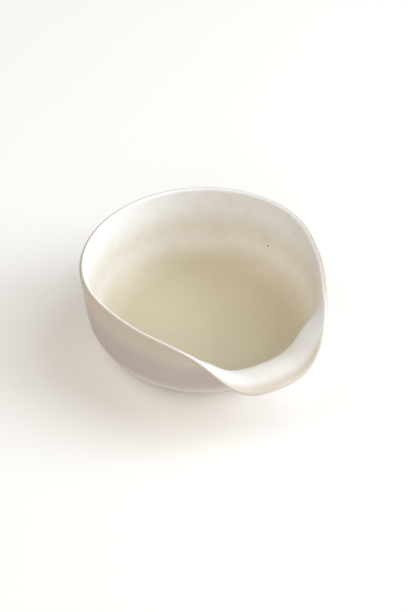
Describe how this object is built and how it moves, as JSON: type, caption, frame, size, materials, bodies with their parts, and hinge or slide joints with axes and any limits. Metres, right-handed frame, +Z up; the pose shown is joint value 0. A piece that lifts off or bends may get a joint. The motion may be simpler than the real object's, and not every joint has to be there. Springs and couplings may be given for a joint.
{
  "type": "evaporating dish",
  "caption": "Round flat-bottomed porcelain evaporating dish with a wide pouring spout rolled down into a lip, glazed inside and out above a bare foot.",
  "frame": {"origin": "centre of the flat foot's underside", "axes": "+Z up out of the bowl, +X towards the spout, symmetric about the XZ plane"},
  "size_m": [0.101, 0.0872, 0.0324],
  "materials": {
    "biscuit": "matt fired biscuit",
    "glaze_inside": "gloss",
    "glaze_outside": "gloss"
  },
  "bodies": {
    "root": {"porcelain_body": "biscuit", "inside_glaze": "glaze_inside", "outside_glaze": "glaze_outside"}
  },
  "joints": []
}
